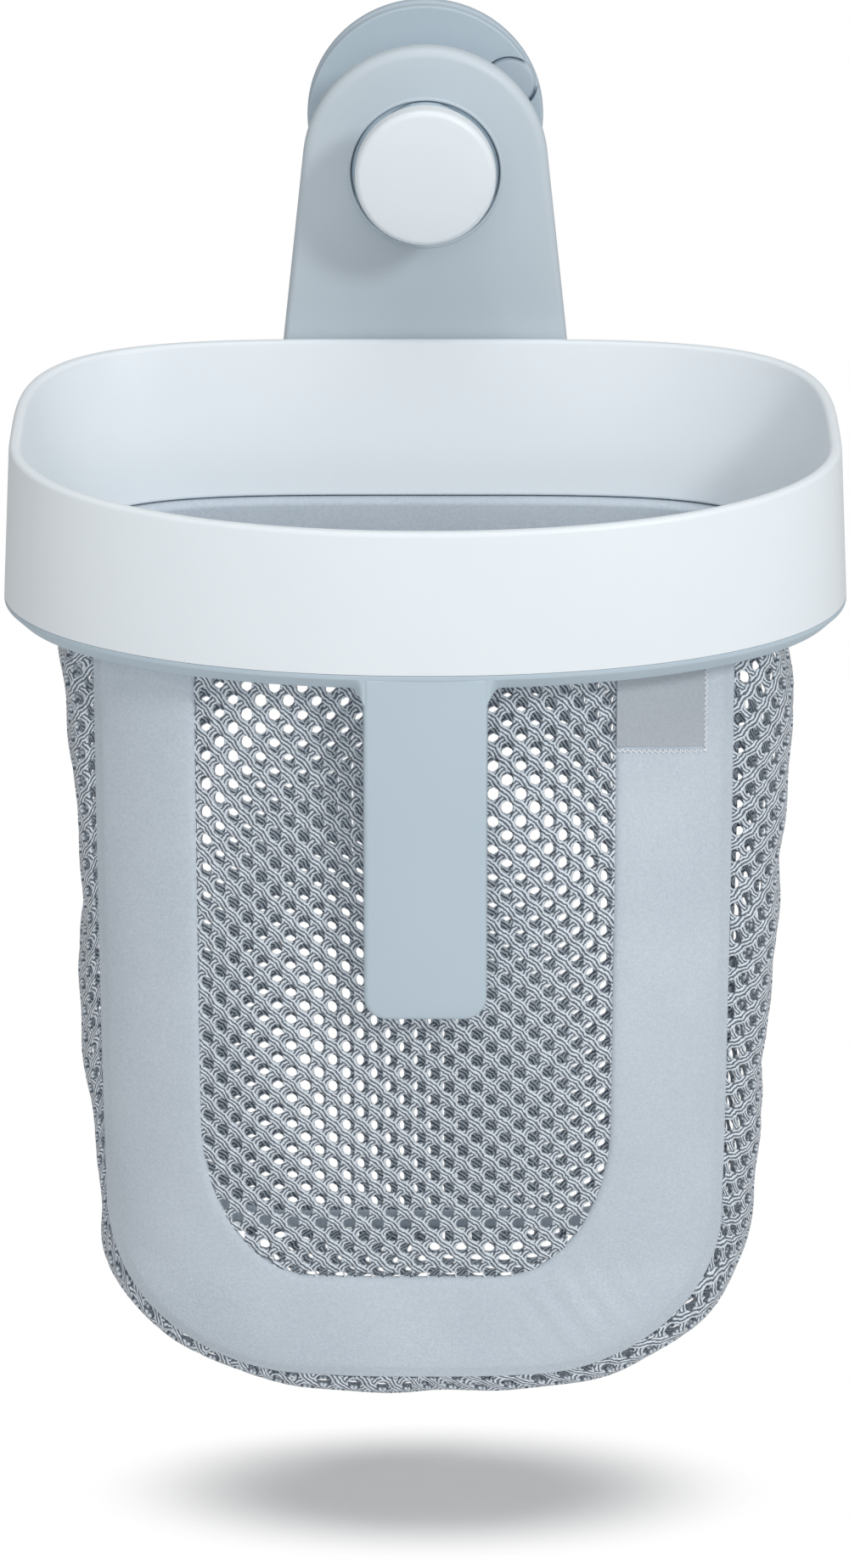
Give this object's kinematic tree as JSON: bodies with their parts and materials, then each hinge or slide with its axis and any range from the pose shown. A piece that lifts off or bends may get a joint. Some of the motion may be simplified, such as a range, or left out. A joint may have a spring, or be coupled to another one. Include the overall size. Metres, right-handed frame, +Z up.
{
  "type": "bath toy organizer",
  "caption": "Wall-hung bath toy scoop with a suction mount and twist knob, a hanging plate, a D-shaped rim, a paddle handle and a drained net bag.",
  "frame": {"origin": "centre of the suction cup's contact face, on the wall plane and the knob axis", "axes": "+X to the right seen from the room, +Y into the wall, +Z up"},
  "size_m": [0.2, 0.1568, 0.3183],
  "materials": {
    "grey_rubber": "soft satin",
    "grey_plastic": "satin",
    "steel": "plain",
    "white_plastic": "satin gloss",
    "grey_cloth": "woven",
    "grey_net": "knitted net",
    "label_cloth": "woven tag, bare"
  },
  "bodies": {
    "wall_mount": {"suction_cup": "grey_rubber", "mount_cover": "grey_plastic"},
    "scoop": {"back_plate": "grey_plastic", "upper_rim": "white_plastic", "lower_ring": "grey_plastic", "plate_screw_1": "steel", "plate_screw_2": "steel", "plate_screw_3": "steel", "plate_screw_4": "steel", "ring_screw_1": "steel", "ring_screw_2": "steel", "ring_screw_3": "steel", "ring_screw_4": "steel", "ring_screw_5": "steel", "ring_screw_6": "steel", "bag_hem": "grey_cloth", "bag_front_mesh": "grey_net", "bag_front_band": "grey_cloth", "bag_gusset": "grey_net", "bag_back_mesh": "grey_net", "bag_label": "label_cloth"},
    "knob": {"lock_knob": "white_plastic"},
    "stud": {"draw_stud": "steel"}
  },
  "joints": [
    {"name": "scoop_lift_off", "type": "slide", "parent": "wall_mount", "child": "scoop", "axis": [0, -0.9678, 0.2516], "range_m": [0, 0.06]},
    {"name": "knob_turn", "type": "hinge", "parent": "wall_mount", "child": "knob", "pos_m": [0, -0.0537, 0], "axis": [0, 1, 0], "range_deg": [0, 360]},
    {"name": "stud_draw", "type": "slide", "parent": "wall_mount", "child": "stud", "axis": [0, -1, 0], "range_m": [0, 0.003], "deforming": ["suction_cup"]}
  ],
  "couplings": [
    {"joint": "stud_draw", "follows": "knob_turn", "m_per_rad": 0.00047746}
  ]
}
